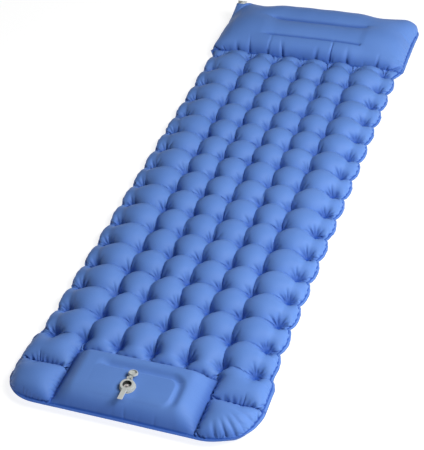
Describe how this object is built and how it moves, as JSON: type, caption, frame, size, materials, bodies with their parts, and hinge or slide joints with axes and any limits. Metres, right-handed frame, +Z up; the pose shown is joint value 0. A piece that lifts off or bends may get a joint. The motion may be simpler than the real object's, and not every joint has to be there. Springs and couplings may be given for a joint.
{
  "type": "inflatable camping pad with pillow",
  "caption": "Self-contained inflatable sleeping pad with quilted air cells, a raised pillow end, a foot-press pump box and two push-fit air valves.",
  "frame": {"origin": "middle of the underside, on the floor", "axes": "+Y from the foot end with the pump to the head end with the pillow, +X to the sleeper's right when lying face up seen from above with the head at +Y, +Z up"},
  "size_m": [0.716, 2, 0.105],
  "materials": {
    "fabric_blue": "satin coated plain-weave nylon",
    "inner_film": "matt coated inner face of the same nylon",
    "foam": "open-cell foam",
    "valve_grey": "satin moulded thermoplastic urethane",
    "pin_plastic": "smooth hard plastic",
    "silicone": "translucent soft silicone",
    "seal_rubber": "matt seal rubber"
  },
  "bodies": {
    "pad": {"bottom_sheet": "fabric_blue", "mattress_top": "fabric_blue", "foot_panel_left": "fabric_blue", "foot_panel_right": "fabric_blue", "pillow_top": "fabric_blue", "pillow_baffle_front": "inner_film", "pillow_baffle_rear": "inner_film", "pump_chamber_wall": "inner_film", "pump_skirt": "fabric_blue", "pump_foam": "foam", "transfer_seat": "valve_grey", "deflate_base": "valve_grey"},
    "pump": {"pump_panel": "fabric_blue", "inlet_base": "valve_grey"},
    "inlet_plug_body": {"inlet_plug": "valve_grey", "inlet_gasket": "seal_rubber", "inlet_hinge_pin": "pin_plastic"},
    "inlet_flap_body": {"inlet_flap": "silicone"},
    "inlet_cap_body": {"inlet_cap": "valve_grey"},
    "transfer_flap_body": {"transfer_flap": "seal_rubber"},
    "deflate_plug_body": {"deflate_plug": "valve_grey", "deflate_gasket": "seal_rubber"}
  },
  "joints": [
    {"name": "pump_press", "type": "slide", "parent": "pad", "child": "pump", "axis": [0, 0, -1], "range_m": [0, 0.032], "stiffness_N_per_m": 2000, "deforming": ["pump_skirt", "pump_foam"]},
    {"name": "inlet_plug_pull", "type": "slide", "parent": "pump", "child": "inlet_plug_body", "axis": [0, 0, 1], "range_m": [0, 0.01]},
    {"name": "inlet_flap_open", "type": "slide", "parent": "inlet_plug_body", "child": "inlet_flap_body", "axis": [0, 0, -1], "range_m": [0, 0.002], "stiffness_N_per_m": 60},
    {"name": "inlet_cap_close", "type": "hinge", "parent": "inlet_plug_body", "child": "inlet_cap_body", "pos_m": [0, -0.9022, 0.0881], "axis": [1, 0, 0], "range_deg": [0, 195]},
    {"name": "transfer_flap_open", "type": "hinge", "parent": "pad", "child": "transfer_flap_body", "pos_m": [0, -0.8018, 0.021], "axis": [1, 0, 0], "range_deg": [0, 35], "stiffness_Nm_per_rad": 0.0004},
    {"name": "deflate_plug_pull", "type": "slide", "parent": "pad", "child": "deflate_plug_body", "axis": [0, 0.5547, 0.8321], "range_m": [0, 0.009]}
  ]
}
